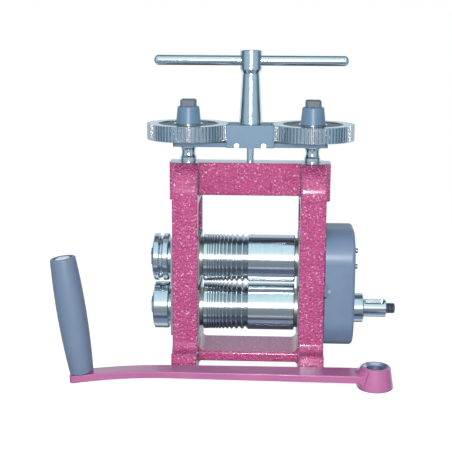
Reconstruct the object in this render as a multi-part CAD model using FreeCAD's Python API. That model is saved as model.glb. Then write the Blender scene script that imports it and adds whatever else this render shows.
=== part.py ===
import FreeCAD, Part
import math
import os

# Jewellers rolling mill. Millimetres. X runs along the rolls toward the drive end,
# -Y is the operator's side, +Z is up, and the floor under the feet is Z = 0.

os.makedirs("parts", exist_ok=True)

# Fits and clearances shared by every piece
RUN_FIT = 0.05
SEAT_FIT = 0.02
FACE_GAP = 0.2
OPEN_GAP = 0.5

# Rolls
ROLL_R = 25.0
ROLL_HALF_L = 48.1
ROLL_GAP = 2.8
LOWER_Z = 62.5
UPPER_Z = LOWER_Z + 2 * ROLL_R + ROLL_GAP
JOURNAL_R = 15.0
GROOVE_COUNT = 11
GROOVE_FIRST_X = -0.6
GROOVE_FIRST_W = 5.9
GROOVE_SHRINK = 0.86
GROOVE_LAND = 0.9
ROLL_EDGE = 0.8

# Housings of the frame casting
HOUSING_IN = 52.2
HOUSING_T = 26.2
HOUSING_OUT = HOUSING_IN + HOUSING_T
POST_FRONT = 42.0
POST_DEPTH = 12.0
WINDOW_Y = POST_FRONT - POST_DEPTH
BLOCK_HALF_H = 24.0
SILL_Z = LOWER_Z - BLOCK_HALF_H
WINDOW_TOP = 178.0
WINDOW_R = 8.0
FRAME_TOP = 218.5
TOP_FLAT_Y = 11.7
ARCH_DROP = 30.0
FOOT_Y = 58.3
FOOT_TOP = 26.7
FOOT_FILLET = 9.0
FOOT_HOLE_R = 4.5
FOOT_HOLE_Y = 51.5
FEET_ARCH_Y = 26.0
FEET_ARCH_Z = 3.0
EDGE_R = 2.0
TOP_MEMBER_Z = 184.1
BOTTOM_MEMBER_Y = 29.0
BOTTOM_MEMBER_LOW = 9.3
BOTTOM_MEMBER_TOP = 19.9
MEMBER_EDGE = 2.5
CORNER_HIGH_R = 3.0
CORNER_MID_R = 7.0
CORNER_LOW_R = 4.0
BOSS_OUT = 83.4
BOSS_Y = 12.0
BOSS_LOW = 178.2
BOSS_TAPER = 1.2

# Gear train between the handle and the two main screws
GEAR_MODULE = 1.25
GEAR_TEETH = 67
IDLER_TEETH = 12
PINION_TEETH = 12
MESH_ANGLE = 25.0
ADDENDUM = 0.8
DEDENDUM = 1.05
TOOTH_SLACK = 0.16
IDLER_X = (PINION_TEETH + IDLER_TEETH) * GEAR_MODULE / 2
SCREW_X = IDLER_X + (IDLER_TEETH + GEAR_TEETH) * GEAR_MODULE / 2
GEAR_TIP_R = GEAR_TEETH * GEAR_MODULE / 2 + ADDENDUM * GEAR_MODULE
GEAR_T = 16.0
WEB_DEPTH = 1.2
WEB_OUT_R = 31.2
WEB_IN_R = 15.0

# Bridge bar and pinion block
BAR_RISE = 16.1
BAR_Z = FRAME_TOP + BAR_RISE
BAR_T = 4.7
BAR_HALF_L = 79.7
BAR_HALF_W = 13.0
BAR_CORNER = 3.0
BAR_EDGE = 0.5
WASHER_ROOM = 2.7
GEAR_Z = BAR_Z + BAR_T + WASHER_ROOM
GEAR_TOP = GEAR_Z + GEAR_T
BLOCK_HALF_X = 24.7
BLOCK_HALF_Y = 17.5
BLOCK_TOP = GEAR_TOP - FACE_GAP
BLOCK_ROOF = 4.0
BLOCK_EDGE = 0.8
TRAIN_HALF_Y = 10.6
GEAR_RELIEF = 0.4
IDLER_PIN_R = 2.5
BLOCK_SCREW_X = 13.8
BLOCK_SCREW_R = 1.3
BLOCK_HEAD_R = 2.6
BLOCK_HEAD_H = 1.3
BLOCK_SCREW_L = 8.0

# Main screws, their gears' hubs and clamp bolts
THREAD_R = 9.0
THREAD_PITCH = 2.5
THREAD_DEPTH = 1.1
NECK_R = 7.2
FLARE_R = 8.6
FLARE_T = 1.5
NECK_END = 0.3
NECK_BASE = 4.6
TIP_R = 6.5
TIP_L = 3.0
SCREW_SEAT_R = 6.0
HUB_TOP_R = 11.3
HUB_LOW_R = 12.9
HUB_H = 17.5
BOLT_AF = 16.2
BOLT_H = 7.3
BOLT_CORNER = 2.6
BOLT_DOME = 1.8
BOLT_SHANK_R = 4.0
BOLT_SHANK_L = 14.0

# T handle
STEM_LOW_R = 12.1
STEM_HIGH_R = 9.15
CROSS_RISE = 104.0
CROSS_Z = FRAME_TOP + CROSS_RISE
CROSS_R = 5.2
CROSS_HALF_L = 99.5
CROSS_ROUND = 4.2
HEAD_R = 11.4
HEAD_UP = 10.5
HEAD_DOWN = 8.9
HEAD_EDGE = 0.6
HEAD_CONE = 4.2
STEM_SOCKET_R = 5.0
STEM_SOCKET_L = 18.0
PINION_SHAFT_R = 6.4
GUIDE_R = 3.9
GUIDE_DEPTH = 23.0
HANDLE_PIN_R = 1.5

# Bearing blocks, bushes, pads and springs
BLOCK_SIDE_GAP = 0.08
BLOCK_FACE_X = 51.3
LIP_GAP = 0.2
LIP_T = 2.2
RING_LIP_EXTRA = 3.6
GEAR_LIP_HALF_H = 16.0
BUSH_OUT_R = 19.0
BUSH_FLANGE_R = 22.0
BUSH_FLAT = 15.9
BLOCK_CHAMFER = 1.5
PAD_R = 11.0
PAD_H = 5.0
PAD_SUNK = 2.0
SPRING_Y = 24.0
SPRING_WIRE_R = 0.5
SPRING_R = 2.9
SPRING_CURLS = 7
SPRING_POCKET = 12.0
SPRING_POCKET_R = 4.3

# Side rings on the outer ends of both rolls
RING_R = 25.0
RING_IN = 84.4
RING_OUT = 100.9
RING_BORE_R = 7.5
RING_GROOVE_R = 2.5
RING_EDGE = 1.2
SPACER_R = 17.5
SPACER_START = HOUSING_OUT + LIP_GAP + LIP_T + FACE_GAP
NUT_AF = 16.2
NUT_H = 3.2
NUT_THREAD_R = 5.0
KEY_W = 4.0
KEY_SINK = 2.0
KEY_RISE = 1.6

# Drive gears between the rolls
DRIVE_MODULE = 2 * ROLL_R / 16
DRIVE_TEETH = 16
DRIVE_ANGLE = 20.0
DRIVE_ADDENDUM = 1.0
DRIVE_DEDENDUM = 1.35
DRIVE_SLACK = 0.22
DRIVE_IN = SPACER_START + 1.0
DRIVE_T = 18.0
DRIVE_OUT = DRIVE_IN + DRIVE_T
DRIVE_BORE_R = 11.0
GEAR_NUT_R = 13.0
GEAR_NUT_T = 2.6
GEAR_THREAD_R = 6.0

# Gear cover
COVER_OUT = 109.2
COVER_WALL = 3.2
COVER_FACE_T = 3.8
COVER_HALF_H = 62.0
COVER_LAP = 2.0
COVER_HALF_D = POST_FRONT + COVER_LAP
COVER_R = 32.0
COVER_EDGE = 3.6
COVER_RISE = 0.2
COVER_MID_Z = (LOWER_Z + UPPER_Z) / 2 + COVER_RISE
COVER_HOLE_R = 16.4
COVER_SCREW_IN = 7.8
COVER_SCREW_Y = POST_FRONT - COVER_SCREW_IN
COVER_SCREW_STEP = 16.5
COVER_SCREW_LOW = 0.8
COVER_SCREW_Z = (UPPER_Z + COVER_SCREW_LOW, UPPER_Z + COVER_SCREW_LOW + COVER_SCREW_STEP)
COVER_SCREW_R = 1.9
COVER_SCREW_L = 44.0
COVER_HEAD_R = 2.5
COVER_HEAD_H = 2.5
LUG_X = 9.0
LUG_Z = 91.4
LUG_HALF_Z = 7.0
LUG_INNER_Y = 34.4
RIM_SCREW_X = HOUSING_OUT + 4.6
RIM_SCREW_R = 1.2
RIM_HEAD_R = 1.9
NOTCH_HALF_Z = 8.0
NOTCH_DEEP = 4.0

# Drive shaft at the end of the lower roll
COLLAR_R = 15.5
COLLAR_OUT = 121.6
COLLAR_SEAT_R = 10.4
SHAFT_R = 9.5
SHAFT_END = 145.4
STUD_R = 5.5
STUD_END = 155.3
KEYWAY_W = 6.2
KEYWAY_DEEP = 3.0
KEYWAY_START = COLLAR_OUT + KEYWAY_W / 2 + FACE_GAP
KEYWAY_TAIL = 1.2
KEYWAY_END = SHAFT_END - KEYWAY_TAIL
KEYWAY_ANGLE = 58.0
SEAM_ANGLE = 22.5 - KEYWAY_ANGLE

# Crank, standing on the floor in front of the frame
CRANK_X = 129.6
CRANK_Y = -72.2
CRANK_BOSS_H = 22.5
CRANK_BOSS_R = 15.2
CRANK_FOOT_R = 18.4
BOSS_EDGE = 1.2
CRANK_BORE_R = SHAFT_R + 0.08
CRANK_BORE_CHAMFER = 2.6
GRIP_X = -168.4
GRIP_LEAN = 7.9
ARM_GRIP_W = 19.4
ARM_BOSS_W = 27.2
ARM_T = 6.9
ARM_EDGE = 0.8
ARM_END = 12.0
ARM_END_R = 6.0
ARM_BEND_X = -76.0
ARM_BEND_Z = 9.0
ARM_SLOPE = 0.246
ARM_BEND_R = 597.0
ARM_TOP_R = 720.0
HAUNCH_R = 21.4
HAUNCH_TOP = 20.3
HAUNCH_T = 0.5
SOLE_R = 21.6
SOLE_LOW = 2.2
GRIP_L = 120.0
GRIP_LOW_R = 12.1
GRIP_MID_R = 14.8
GRIP_TOP_R = 12.9
GRIP_EDGE = 1.4
GRIP_FOOT_EDGE = 0.5
GRIP_RECESS_R = 9.6
GRIP_RECESS = 3.6
SPINDLE_R = 5.0
SPINDLE_HEAD_R = 7.6
SPINDLE_HEAD_H = 3.0
SPINDLE_SLOT = 1.6
WASHER_R = 9.0
WASHER_T = 0.6

X_AXIS = FreeCAD.Vector(1, 0, 0)
Y_AXIS = FreeCAD.Vector(0, 1, 0)
Z_AXIS = FreeCAD.Vector(0, 0, 1)
SIDES = {"left": -1, "right": 1}
ENDS = (-1, 1)
LEVELS = {"lower": LOWER_Z, "upper": UPPER_Z}


def vec(x, y, z):
    return FreeCAD.Vector(x, y, z)


def box(x0, x1, y0, y1, z0, z1):
    low = vec(min(x0, x1), min(y0, y1), min(z0, z1))
    return Part.makeBox(abs(x1 - x0), abs(y1 - y0), abs(z1 - z0), low)


def rod(axis, radius, start, end, centre=(0, 0)):
    """A cylinder along one axis from start to end; centre gives the other two coordinates."""
    low = min(start, end)
    length = abs(end - start)
    if axis == "X":
        return Part.makeCylinder(radius, length, vec(low, centre[0], centre[1]), X_AXIS)
    if axis == "Y":
        return Part.makeCylinder(radius, length, vec(centre[0], low, centre[1]), Y_AXIS)
    return Part.makeCylinder(radius, length, vec(centre[0], centre[1], low), Z_AXIS)


def face_of(points):
    return Part.Face(Part.makePolygon(points + [points[0]]))


def turned_x(profile, y, z):
    """Revolves (x, radius) points about the line along X through y, z."""
    face = face_of([vec(x, y, z + r) for x, r in profile])
    return face.revolve(vec(0, y, z), X_AXIS, 360)


def turned_z(profile, x, y, bends=()):
    """Revolves (z, radius) points about the vertical through x, y. Each bend is the number of
    the side it replaces, counted from 0, and a point that the side's arc goes through."""
    corners = [vec(x + r, y, z) for z, r in profile]
    edges = [Part.makeLine(a, b) for a, b in zip(corners, corners[1:] + corners[:1])]
    for side, (z, r) in bends:
        end = corners[(side + 1) % len(corners)]
        edges[side] = Part.Arc(corners[side], vec(x + r, y, z), end).toShape()
    return Part.Face(Part.Wire(edges)).revolve(vec(x, y, 0), Z_AXIS, 360)


def joined(shapes):
    whole = shapes[0].multiFuse(shapes[1:]) if len(shapes) > 1 else shapes[0]
    return whole.removeSplitter()


def filleted(shape, radius, pick):
    edges = [edge for edge in shape.Edges if pick(edge)]
    return shape.makeFillet(radius, edges) if edges else shape


def mirrored(shape):
    return shape.mirror(vec(0, 0, 0), X_AXIS)


def export(name, shape):
    shape.exportStep("parts/" + name + ".step")


def export_group(name, shapes):
    export(name, Part.makeCompound(shapes))


def involute(angle):
    return math.tan(angle) - angle


def gear_points(module, teeth, pressure, addendum, dedendum, slack, phase):
    """Outline of a spur gear as (u, v) points, one tooth centred on the phase angle."""
    pitch_r = module * teeth / 2
    base_r = pitch_r * math.cos(math.radians(pressure))
    tip_r = pitch_r + addendum * module
    root_r = pitch_r - dedendum * module
    half_pitch = (math.pi / 2 - slack) / teeth
    flare = involute(math.radians(pressure))
    steps = (max(base_r, root_r), pitch_r, (pitch_r + tip_r) / 2, tip_r)
    flank = []
    for radius in steps:
        lean = math.acos(min(1.0, base_r / radius))
        flank.append((radius, half_pitch + flare - involute(lean)))
    root_angle = min(flank[0][1] + 0.1 / teeth, math.pi / teeth * 0.98)
    points = []
    for index in range(teeth):
        centre = math.radians(phase) + index * 2 * math.pi / teeth
        ring = [(root_r, -root_angle)] + [(r, -a) for r, a in flank]
        ring += [(r, a) for r, a in reversed(flank)] + [(root_r, root_angle)]
        points += [(r * math.cos(centre + a), r * math.sin(centre + a)) for r, a in ring]
    return points


def spur_z(module, teeth, addendum, phase, low, high, x):
    points = gear_points(module, teeth, MESH_ANGLE, addendum, DEDENDUM, TOOTH_SLACK, phase)
    return face_of([vec(x + u, v, low) for u, v in points]).extrude(vec(0, 0, high - low))


def hex_prism_x(across, start, length, z):
    corner = across / math.sqrt(3)
    turns = [math.radians(60 * k + 30) for k in range(6)]
    points = [vec(start, corner * math.cos(a), z + corner * math.sin(a)) for a in turns]
    return face_of(points).extrude(vec(length, 0, 0))


def biarc(p0, t0, p1, t1):
    """Two tangent arcs joining p0, heading t0, to p1, heading t1."""
    v = p1 - p0
    both = t0 + t1
    spread = 1 - t0.dot(t1)
    reach = v.dot(both)
    d = (-reach + math.sqrt(reach * reach + 2 * spread * v.dot(v))) / (2 * spread)
    joint = (p0 + t0 * d + p1 - t1 * d) * 0.5
    return [arc_from(p0, t0, joint), arc_from(p1, t1 * -1, joint)]


def arc_from(start, heading, end):
    chord = end - start
    along = FreeCAD.Vector(chord).normalize()
    across = heading - along * heading.dot(along)
    half = math.acos(max(-1.0, min(1.0, heading.dot(along)))) / 2
    middle = (start + end) * 0.5 + across.normalize() * (chord.Length / 2 * math.tan(half))
    return Part.Arc(start, middle, end).toShape()


def coil_spring(x, y, low, high):
    """One unbroken round wire wound in curls between two heights."""
    bottom = low + SPRING_WIRE_R
    rise = high - low - 2 * SPRING_WIRE_R
    count = SPRING_CURLS * 4
    slope = rise / (SPRING_CURLS * 2 * math.pi * SPRING_R)
    points = []
    heads = []
    for index in range(count + 1):
        a = index * math.pi / 2
        height = bottom + rise * index / count
        points.append(vec(x + SPRING_R * math.cos(a), y + SPRING_R * math.sin(a), height))
        heads.append(vec(-math.sin(a), math.cos(a), slope).normalize())
    edges = []
    for index in range(count):
        first, second = biarc(points[index], heads[index], points[index + 1], heads[index + 1])
        edges += [first, second]
    path = Part.Wire(Part.__sortEdges__(edges))
    pairs = [(a, b) for i, a in enumerate(points) for b in points[i + 2 :]]
    gap = min(a.distanceToPoint(b) for a, b in pairs) - 2 * SPRING_WIRE_R
    print("least gap between the spring's curls", round(gap, 3))
    ring = Part.makeCircle(SPRING_WIRE_R, points[0], heads[0])
    return path.makePipeShell([Part.Wire([ring])], True, False)


# Frame casting


def housing_outline():
    """Side outline of one housing: feet, posts and the arched top, in the YZ plane."""
    x = HOUSING_IN
    arch_low = FRAME_TOP - ARCH_DROP
    arch_in = POST_FRONT - TOP_FLAT_Y
    bend_y = TOP_FLAT_Y + arch_in * math.sqrt(0.5)
    bend_z = arch_low + ARCH_DROP * math.sqrt(0.5)
    fillet_mid = FOOT_FILLET * (1 - math.sqrt(0.5))
    edges = []
    half = []
    half.append(("line", (0, FRAME_TOP), (TOP_FLAT_Y, FRAME_TOP)))
    half.append(("arc", (TOP_FLAT_Y, FRAME_TOP), (bend_y, bend_z), (POST_FRONT, arch_low)))
    high = FOOT_TOP + FOOT_FILLET
    half.append(("line", (POST_FRONT, arch_low), (POST_FRONT, high)))
    mid = (POST_FRONT + fillet_mid, FOOT_TOP + fillet_mid)
    half.append(("arc", (POST_FRONT, high), mid, (POST_FRONT + FOOT_FILLET, FOOT_TOP)))
    half.append(("line", (POST_FRONT + FOOT_FILLET, FOOT_TOP), (FOOT_Y, FOOT_TOP)))
    half.append(("line", (FOOT_Y, FOOT_TOP), (FOOT_Y, 0)))
    half.append(("line", (FOOT_Y, 0), (FEET_ARCH_Y + FEET_ARCH_Z, 0)))
    half.append(("line", (FEET_ARCH_Y + FEET_ARCH_Z, 0), (FEET_ARCH_Y, FEET_ARCH_Z)))
    half.append(("line", (FEET_ARCH_Y, FEET_ARCH_Z), (0, FEET_ARCH_Z)))
    for side in ENDS:
        for piece in half:
            ends = [vec(x, side * y, z) for y, z in piece[1:]]
            if piece[0] == "line":
                edges.append(Part.makeLine(ends[0], ends[1]))
            else:
                edges.append(Part.Arc(ends[0], ends[1], ends[2]).toShape())
    return Part.Wire(Part.__sortEdges__(edges))


def housing():
    """The right housing with its window, screw boss and rounded casting edges."""
    plate = Part.Face(housing_outline()).extrude(vec(HOUSING_T, 0, 0))
    rim = lambda edge: edge.BoundBox.XLength < RUN_FIT and edge.BoundBox.ZMax > FEET_ARCH_Z + EDGE_R
    plate = filleted(plate, EDGE_R, rim)
    window = box(HOUSING_IN - 1, HOUSING_OUT + 1, -WINDOW_Y, WINDOW_Y, SILL_Z, WINDOW_TOP)
    high = lambda edge: edge.BoundBox.ZLength < RUN_FIT and edge.BoundBox.ZMin > SILL_Z + 1
    window = filleted(window, WINDOW_R, lambda edge: high(edge) and edge.BoundBox.YLength < RUN_FIT)
    plate = plate.cut(window)
    return joined([plate, screw_boss()])


def screw_boss():
    """The thickening on the housing's outer face that carries the main screw."""
    side = [vec(HOUSING_OUT - 2 * EDGE_R, -BOSS_Y, FRAME_TOP), vec(BOSS_OUT, -BOSS_Y, FRAME_TOP)]
    side += [vec(BOSS_OUT, -BOSS_Y, BOSS_LOW + BOSS_TAPER)]
    side += [vec(HOUSING_OUT - 2 * EDGE_R, -BOSS_Y, BOSS_LOW)]
    boss = face_of(side).extrude(vec(0, 2 * BOSS_Y, 0))
    outer = lambda edge: edge.BoundBox.XMin > BOSS_OUT - RUN_FIT and edge.BoundBox.ZLength > 1
    return filleted(boss, EDGE_R, outer)


def top_member():
    """Cross member between the housing tops, flared at both ends."""
    wide = HOUSING_IN + EDGE_R + 1
    bar = box(-wide, wide, -TOP_FLAT_Y, TOP_FLAT_Y, TOP_MEMBER_Z, FRAME_TOP)
    low = lambda edge: edge.BoundBox.XLength > 1 and edge.BoundBox.ZMax < TOP_MEMBER_Z + 1
    return filleted(bar, MEMBER_EDGE, low)


def bottom_member():
    wide = HOUSING_IN + EDGE_R + 1
    y = BOTTOM_MEMBER_Y
    bar = box(-wide, wide, -y, y, BOTTOM_MEMBER_LOW, BOTTOM_MEMBER_TOP)
    return filleted(bar, MEMBER_EDGE, lambda edge: edge.BoundBox.XLength > 1)


def corner_web(side, z, rise, y):
    """Concave fillet between a housing's inner face and a cross member's flat; rise is its
    radius, negative below the flat."""
    x = side * HOUSING_IN
    radius = abs(rise)
    block = box(x + side * 1, x - side * radius, -y, y, z, z + rise)
    return block.cut(rod("Y", radius, -y - 1, y + 1, (x - side * radius, z + rise)))


def frame_casting():
    right = housing()
    pieces = [right, mirrored(right), top_member(), bottom_member()]
    for side in ENDS:
        low_y = BOTTOM_MEMBER_Y - MEMBER_EDGE
        pieces.append(corner_web(side, TOP_MEMBER_Z, -CORNER_HIGH_R, TOP_FLAT_Y - MEMBER_EDGE))
        pieces.append(corner_web(side, BOTTOM_MEMBER_TOP, CORNER_MID_R, low_y))
        pieces.append(corner_web(side, BOTTOM_MEMBER_LOW, -CORNER_LOW_R, low_y))
    lug_low = LUG_Z - LUG_HALF_Z
    lug_y = COVER_WALL + FACE_GAP - COVER_HALF_D
    lug_x = HOUSING_OUT + LUG_X
    pieces.append(box(HOUSING_OUT - 1, lug_x, lug_y, -LUG_INNER_Y, lug_low, LUG_Z + LUG_HALF_Z))
    body = joined(pieces)
    cuts = []
    for side in ENDS:
        screw = (side * SCREW_X, 0)
        cuts.append(rod("Z", THREAD_R + RUN_FIT, WINDOW_TOP - 1, FRAME_TOP + 1, screw))
        for end in ENDS:
            foot = (side * (HOUSING_IN + HOUSING_T / 2), end * FOOT_HOLE_Y)
            cuts.append(rod("Z", FOOT_HOLE_R, -1, FOOT_TOP + FOOT_FILLET, foot))
    cuts.append(rod("Z", GUIDE_R + RUN_FIT, FRAME_TOP - GUIDE_DEPTH - 1, FRAME_TOP + 1))
    reach = COVER_OUT - COVER_SCREW_L - 1
    for end in ENDS:
        for z in COVER_SCREW_Z:
            spot = (end * COVER_SCREW_Y, z)
            cuts.append(rod("X", COVER_SCREW_R + SEAT_FIT, reach, HOUSING_OUT + 1, spot))
    rim = (RIM_SCREW_X, LUG_Z)
    cuts.append(rod("Y", RIM_SCREW_R + SEAT_FIT, lug_y - 1, -LUG_INNER_Y + 1, rim))
    for cut in cuts:
        body = body.cut(cut)
    return body


# Rolls, rings and gears on them


def groove_table():
    """Centre and width of each V groove, from the widest at mid length outward."""
    table = []
    width = GROOVE_FIRST_W
    edge = GROOVE_FIRST_X
    for _ in range(GROOVE_COUNT):
        table.append((edge - width / 2, width))
        edge -= width + GROOVE_LAND
        width *= GROOVE_SHRINK
    return table


def roll_profile(right_end):
    face = ROLL_HALF_L
    left = [(-face, JOURNAL_R), (-face, ROLL_R - ROLL_EDGE), (-face + ROLL_EDGE, ROLL_R)]
    grooves = []
    for centre, width in reversed(groove_table()):
        half = width / 2
        grooves += [(centre - half, ROLL_R), (centre, ROLL_R - half), (centre + half, ROLL_R)]
    right = [(face - ROLL_EDGE, ROLL_R), (face, ROLL_R - ROLL_EDGE), (face, JOURNAL_R)]
    nut_end = -(RING_OUT + NUT_H)
    stub = [(nut_end, 0), (nut_end, NUT_THREAD_R), (-RING_OUT, NUT_THREAD_R)]
    stub += [(-RING_OUT, RING_BORE_R), (-SPACER_START, RING_BORE_R), (-SPACER_START, JOURNAL_R)]
    return stub + left + grooves + right + right_end


def key_slot(z, start, end, radius):
    half = KEY_W / 2 + SEAT_FIT
    return box(start, end, -half, half, z + radius - KEY_SINK - SEAT_FIT, z + radius + 1)


def lower_roll():
    end = [(DRIVE_IN, JOURNAL_R), (DRIVE_IN, DRIVE_BORE_R), (DRIVE_OUT, DRIVE_BORE_R)]
    end += [(DRIVE_OUT, COLLAR_SEAT_R), (COLLAR_OUT, COLLAR_SEAT_R), (COLLAR_OUT, SHAFT_R)]
    end += [(SHAFT_END, SHAFT_R), (SHAFT_END, STUD_R)]
    end += [(STUD_END - 1, STUD_R), (STUD_END, STUD_R - 1), (STUD_END, 0)]
    body = turned_x(roll_profile(end), 0, LOWER_Z)
    body.rotate(vec(0, 0, LOWER_Z), X_AXIS, SEAM_ANGLE)
    body = body.cut(key_slot(LOWER_Z, DRIVE_IN, DRIVE_OUT, DRIVE_BORE_R))
    body = body.cut(key_slot(LOWER_Z, -RING_OUT, -RING_IN, RING_BORE_R))
    return body.cut(crank_keyway())


def crank_keyway():
    """Open keyway on the drive shaft, round at the stud end."""
    half = KEYWAY_W / 2
    floor = SHAFT_R - KEYWAY_DEEP
    slot = box(KEYWAY_START, KEYWAY_END - half, -half, half, floor, SHAFT_R + 1)
    round_end = rod("Z", half, floor, SHAFT_R + 1, (KEYWAY_END - half, 0))
    start = rod("Z", half, floor, SHAFT_R + 1, (KEYWAY_START, 0))
    cutter = slot.fuse(round_end).fuse(start)
    cutter.rotate(vec(0, 0, 0), X_AXIS, 90 - KEYWAY_ANGLE)
    cutter.translate(vec(0, 0, LOWER_Z))
    return cutter


def upper_roll():
    tail = DRIVE_OUT + GEAR_NUT_T
    end = [(DRIVE_IN, JOURNAL_R), (DRIVE_IN, DRIVE_BORE_R), (DRIVE_OUT, DRIVE_BORE_R)]
    end += [(DRIVE_OUT, GEAR_THREAD_R), (tail, GEAR_THREAD_R), (tail, 0)]
    body = turned_x(roll_profile(end), 0, UPPER_Z)
    body = body.cut(key_slot(UPPER_Z, DRIVE_IN, DRIVE_OUT, DRIVE_BORE_R))
    return body.cut(key_slot(UPPER_Z, -RING_OUT, -RING_IN, RING_BORE_R))


def key(z, start, end, radius):
    half = KEY_W / 2
    return box(start, end, -half, half, z + radius - KEY_SINK, z + radius + KEY_RISE)


def keyway(z, start, end, radius):
    half = KEY_W / 2 + SEAT_FIT
    return box(start, end, -half, half, z, z + radius + KEY_RISE + SEAT_FIT)


def side_ring(z, grooved):
    top = RING_R - RING_EDGE
    bore = RING_BORE_R + SEAT_FIT
    points = [(-RING_OUT, bore), (-RING_OUT, top), (-RING_OUT + RING_EDGE, RING_R)]
    points += [(-RING_IN - RING_EDGE, RING_R), (-RING_IN, top), (-RING_IN, bore)]
    ring = turned_x(points, 0, z)
    if grooved:
        middle = -(RING_IN + RING_OUT) / 2
        wire = Part.makeTorus(RING_R, RING_GROOVE_R, vec(middle, 0, z), X_AXIS)
        ring = ring.cut(wire)
    return ring.cut(keyway(z, -RING_OUT, -RING_IN, RING_BORE_R))


def spacer(z):
    bore = RING_BORE_R + SEAT_FIT
    outer = rod("X", SPACER_R, -RING_IN, -SPACER_START, (0, z))
    return outer.cut(rod("X", bore, -RING_IN, -SPACER_START, (0, z)))


def ring_nut(z):
    nut = hex_prism_x(NUT_AF, -(RING_OUT + NUT_H), NUT_H, z)
    bore = NUT_THREAD_R + SEAT_FIT
    return nut.cut(rod("X", bore, -(RING_OUT + NUT_H), -RING_OUT, (0, z)))


def drive_gear(z, phase):
    points = gear_points(
        DRIVE_MODULE, DRIVE_TEETH, DRIVE_ANGLE, DRIVE_ADDENDUM, DRIVE_DEDENDUM, DRIVE_SLACK, phase
    )
    face = face_of([vec(DRIVE_IN, u, z + v) for u, v in points])
    gear = face.extrude(vec(DRIVE_OUT - DRIVE_IN, 0, 0))
    bore = DRIVE_BORE_R + SEAT_FIT
    gear = gear.cut(rod("X", bore, DRIVE_IN, DRIVE_OUT, (0, z)))
    return gear.cut(keyway(z, DRIVE_IN, DRIVE_OUT, DRIVE_BORE_R))


def upper_gear_nut():
    nut = rod("X", GEAR_NUT_R, DRIVE_OUT, DRIVE_OUT + GEAR_NUT_T, (0, UPPER_Z))
    bore = GEAR_THREAD_R + SEAT_FIT
    return nut.cut(rod("X", bore, DRIVE_OUT, DRIVE_OUT + GEAR_NUT_T, (0, UPPER_Z)))


def shaft_collar():
    collar = rod("X", COLLAR_R, DRIVE_OUT, COLLAR_OUT, (0, LOWER_Z))
    rims = lambda edge: edge.BoundBox.XLength < RUN_FIT and edge.BoundBox.XMin > DRIVE_OUT + 1
    collar = collar.makeChamfer(1, [edge for edge in collar.Edges if rims(edge)])
    return collar.cut(rod("X", COLLAR_SEAT_R + SEAT_FIT, DRIVE_OUT, COLLAR_OUT, (0, LOWER_Z)))


# Bearing blocks and what rides in them


def bearing_block(side, z, facing):
    """A block for one journal; facing is +1 where the springs sit on its top face. Its lip
    on the housing's outer face is smaller at the drive end, to clear the gear cover."""
    y = WINDOW_Y - BLOCK_SIDE_GAP
    lip_y = y + RING_LIP_EXTRA if side < 0 else COVER_SCREW_Y - COVER_SCREW_R - OPEN_GAP
    lip_h = BLOCK_HALF_H if side < 0 else GEAR_LIP_HALF_H
    low = z - BLOCK_HALF_H
    high = z + BLOCK_HALF_H
    lip_x = HOUSING_OUT + LIP_GAP
    core = box(side * BLOCK_FACE_X, side * (HOUSING_OUT - FACE_GAP), -y, y, low, high)
    long_x = lambda edge: edge.BoundBox.XLength > HOUSING_T / 2
    core = core.makeChamfer(BLOCK_CHAMFER, [edge for edge in core.Edges if long_x(edge)])
    neck_x = (side * (HOUSING_OUT - FACE_GAP), side * lip_x)
    neck = box(*neck_x, -y, y, z - lip_h + BLOCK_CHAMFER, z + lip_h - BLOCK_CHAMFER)
    lip = box(side * lip_x, side * (lip_x + LIP_T), -lip_y, lip_y, z - lip_h, z + lip_h)
    body = joined([core, neck, lip])
    ends = (side * (BLOCK_FACE_X - 1), side * (lip_x + LIP_T + 1))
    body = body.cut(rod("X", BUSH_OUT_R + SEAT_FIT, ends[0], ends[1], (0, z)))
    mouth = z + facing * BLOCK_HALF_H
    for end in ENDS:
        seat = (side * (HOUSING_IN + HOUSING_T / 2), end * SPRING_Y)
        pocket = rod("Z", SPRING_POCKET_R, mouth - facing * SPRING_POCKET, mouth + facing, seat)
        body = body.cut(pocket)
    if facing < 0:
        sunk = (side * SCREW_X, 0)
        body = body.cut(rod("Z", PAD_R + SEAT_FIT, high - PAD_SUNK, high + 1, sunk))
    return body


def bush(side, z, facing):
    """Flanged bush for one journal; the flange is cut flat on the side facing the other roll,
    where facing points."""
    flange_in = ROLL_HALF_L + FACE_GAP / 2
    outer = HOUSING_OUT + LIP_GAP + LIP_T
    points = [(side * flange_in, JOURNAL_R + RUN_FIT), (side * flange_in, BUSH_FLANGE_R)]
    points += [(side * BLOCK_FACE_X, BUSH_FLANGE_R), (side * BLOCK_FACE_X, BUSH_OUT_R)]
    points += [(side * (outer - 1), BUSH_OUT_R), (side * (outer - 1), JOURNAL_R + RUN_FIT)]
    flat = z + facing * BUSH_FLAT
    wide = BUSH_FLANGE_R + 1
    ends = (side * (flange_in - 1), side * BLOCK_FACE_X)
    return turned_x(points, 0, z).cut(box(*ends, -wide, wide, flat, z + facing * wide))


def thrust_pad(side):
    low = UPPER_Z + BLOCK_HALF_H - PAD_SUNK
    return rod("Z", PAD_R, low, low + PAD_H, (side * SCREW_X, 0))


def lift_springs(side):
    x = side * (HOUSING_IN + HOUSING_T / 2)
    low = LOWER_Z + BLOCK_HALF_H - SPRING_POCKET
    high = UPPER_Z - BLOCK_HALF_H + SPRING_POCKET
    return [coil_spring(x, end * SPRING_Y, low, high) for end in ENDS]


# Gear cover


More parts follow.
